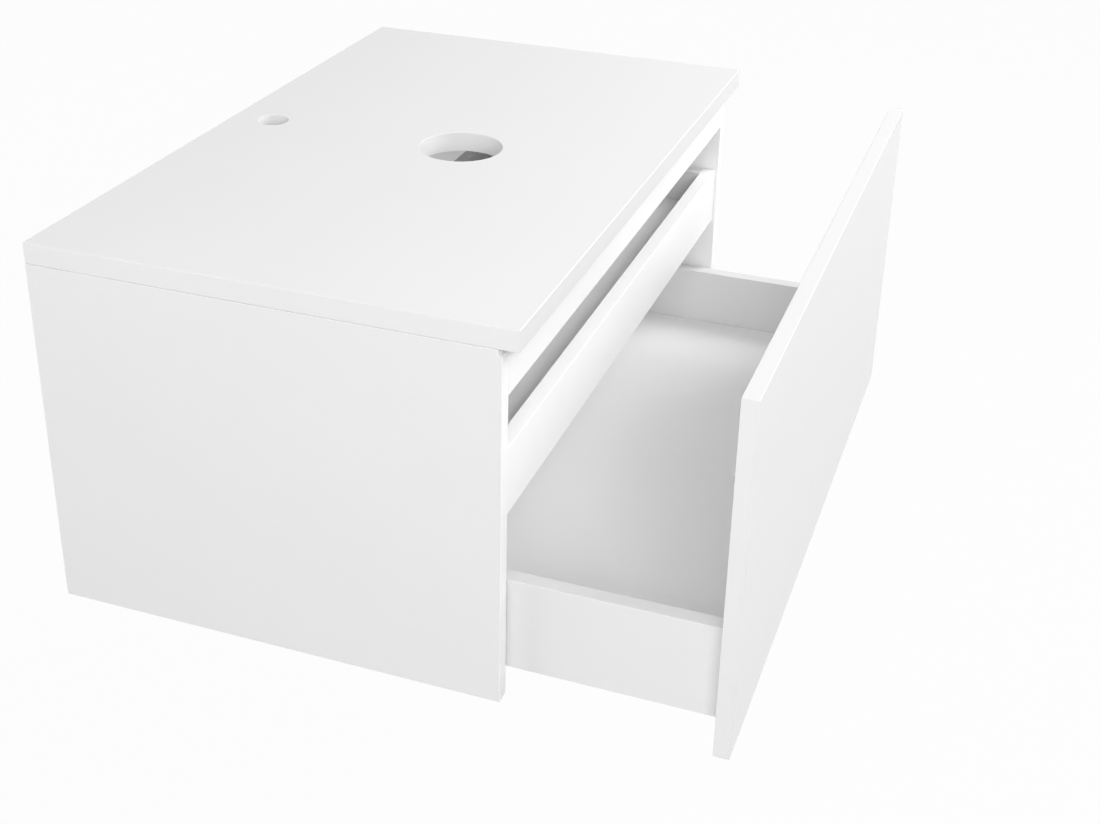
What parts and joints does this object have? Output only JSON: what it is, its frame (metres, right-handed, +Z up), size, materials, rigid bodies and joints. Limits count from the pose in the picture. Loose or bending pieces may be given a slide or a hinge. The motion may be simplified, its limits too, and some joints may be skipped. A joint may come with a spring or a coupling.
{
  "type": "floating vanity",
  "caption": "Wall-hung bathroom vanity: white worktop drilled for a basin and a tap, open-bottomed carcass, tall-fronted lower drawer and a low inner drawer on concealed runners.",
  "frame": {"origin": "middle of the hanging rail's back face, where the vanity meets the wall", "axes": "+X along the worktop to the right seen from the front, -Y out of the wall towards the user, +Z up"},
  "size_m": [0.8, 0.709, 0.4],
  "materials": {
    "worktop_lacquer": "satin white lacquer on MDF",
    "front_lacquer": "satin white lacquer on MDF",
    "side_lacquer": "satin white lacquer on MDF",
    "white_board": "white melamine-faced chipboard",
    "beech": "fluted beech",
    "galvanised_steel": "galvanised sheet steel",
    "zinc_steel": "zinc-plated",
    "zinc_alloy": "die-cast zinc",
    "grey_plastic": "moulded grey",
    "clear_pad": "soft translucent pad"
  },
  "bodies": {
    "carcass": {"worktop": "worktop_lacquer", "left_side_panel": "side_lacquer", "right_side_panel": "side_lacquer", "front_top_rail": "white_board", "hanging_rail": "white_board", "lower_rear_rail": "white_board", "rail_cam_bolts": "zinc_steel", "rail_cam_locks": "zinc_alloy", "rail_dowels": "beech", "worktop_brackets": "galvanised_steel", "worktop_bracket_screws": "zinc_steel", "left_wall_bracket": "galvanised_steel", "right_wall_bracket": "galvanised_steel", "wall_bracket_screws": "zinc_steel", "left_lower_cabinet_runner": "galvanised_steel", "right_lower_cabinet_runner": "galvanised_steel", "left_inner_cabinet_runner": "galvanised_steel", "right_inner_cabinet_runner": "galvanised_steel", "cabinet_runner_screws": "zinc_steel"},
    "lower_drawer": {"left_lower_drawer_runner": "galvanised_steel", "right_lower_drawer_runner": "galvanised_steel", "drawer_front": "front_lacquer", "drawer_left_side": "white_board", "drawer_right_side": "white_board", "drawer_back": "white_board", "drawer_bottom": "white_board", "drawer_dowels": "beech", "drawer_cam_bolts": "zinc_steel", "drawer_cam_locks": "zinc_alloy", "drawer_clip_bodies": "grey_plastic", "drawer_clip_screws": "zinc_steel", "closing_pads": "clear_pad"},
    "lower_middle_runners": {"left_lower_middle_runner": "galvanised_steel", "right_lower_middle_runner": "galvanised_steel"},
    "inner_drawer": {"left_inner_drawer_runner": "galvanised_steel", "right_inner_drawer_runner": "galvanised_steel", "inner_drawer_front": "white_board", "inner_drawer_left_side": "white_board", "inner_drawer_right_side": "white_board", "inner_drawer_back": "white_board", "inner_drawer_bottom": "white_board", "inner_drawer_dowels": "beech", "inner_drawer_cam_bolts": "zinc_steel", "inner_drawer_cam_locks": "zinc_alloy", "inner_clip_bodies": "grey_plastic", "inner_clip_screws": "zinc_steel"},
    "inner_middle_runners": {"left_inner_middle_runner": "galvanised_steel", "right_inner_middle_runner": "galvanised_steel"},
    "lower_left_lever": {"drawer_left_lever": "grey_plastic"},
    "lower_right_lever": {"drawer_right_lever": "grey_plastic"},
    "inner_left_lever": {"inner_left_lever": "grey_plastic"},
    "inner_right_lever": {"inner_right_lever": "grey_plastic"}
  },
  "joints": [
    {"name": "lower_drawer_slide", "type": "slide", "parent": "carcass", "child": "lower_drawer", "axis": [0, -1, 0], "range_m": [-0.2073, 0.191]},
    {"name": "lower_runner_slide", "type": "slide", "parent": "carcass", "child": "lower_middle_runners", "axis": [0, -1, 0], "range_m": [-0.10365, 0.0955]},
    {"name": "inner_drawer_slide", "type": "slide", "parent": "carcass", "child": "inner_drawer", "axis": [0, -1, 0], "range_m": [0, 0.205]},
    {"name": "inner_runner_slide", "type": "slide", "parent": "carcass", "child": "inner_middle_runners", "axis": [0, -1, 0], "range_m": [0, 0.1025]},
    {"name": "lower_left_lever_turn", "type": "hinge", "parent": "lower_drawer", "child": "lower_left_lever", "pos_m": [-0.3279, -0.675, -0.2955], "axis": [0, 0, 1], "range_deg": [0, 12], "stiffness_Nm_per_rad": 0.02},
    {"name": "lower_right_lever_turn", "type": "hinge", "parent": "lower_drawer", "child": "lower_right_lever", "pos_m": [0.3279, -0.675, -0.2955], "axis": [0, 0, -1], "range_deg": [0, 12], "stiffness_Nm_per_rad": 0.02},
    {"name": "inner_left_lever_turn", "type": "hinge", "parent": "inner_drawer", "child": "inner_left_lever", "pos_m": [-0.3279, -0.447, -0.1265], "axis": [0, 0, 1], "range_deg": [0, 12], "stiffness_Nm_per_rad": 0.02},
    {"name": "inner_right_lever_turn", "type": "hinge", "parent": "inner_drawer", "child": "inner_right_lever", "pos_m": [0.3279, -0.447, -0.1265], "axis": [0, 0, -1], "range_deg": [0, 12], "stiffness_Nm_per_rad": 0.02}
  ],
  "couplings": [
    {"joint": "lower_runner_slide", "follows": "lower_drawer_slide", "ratio": 0.5},
    {"joint": "inner_runner_slide", "follows": "inner_drawer_slide", "ratio": 0.5}
  ]
}
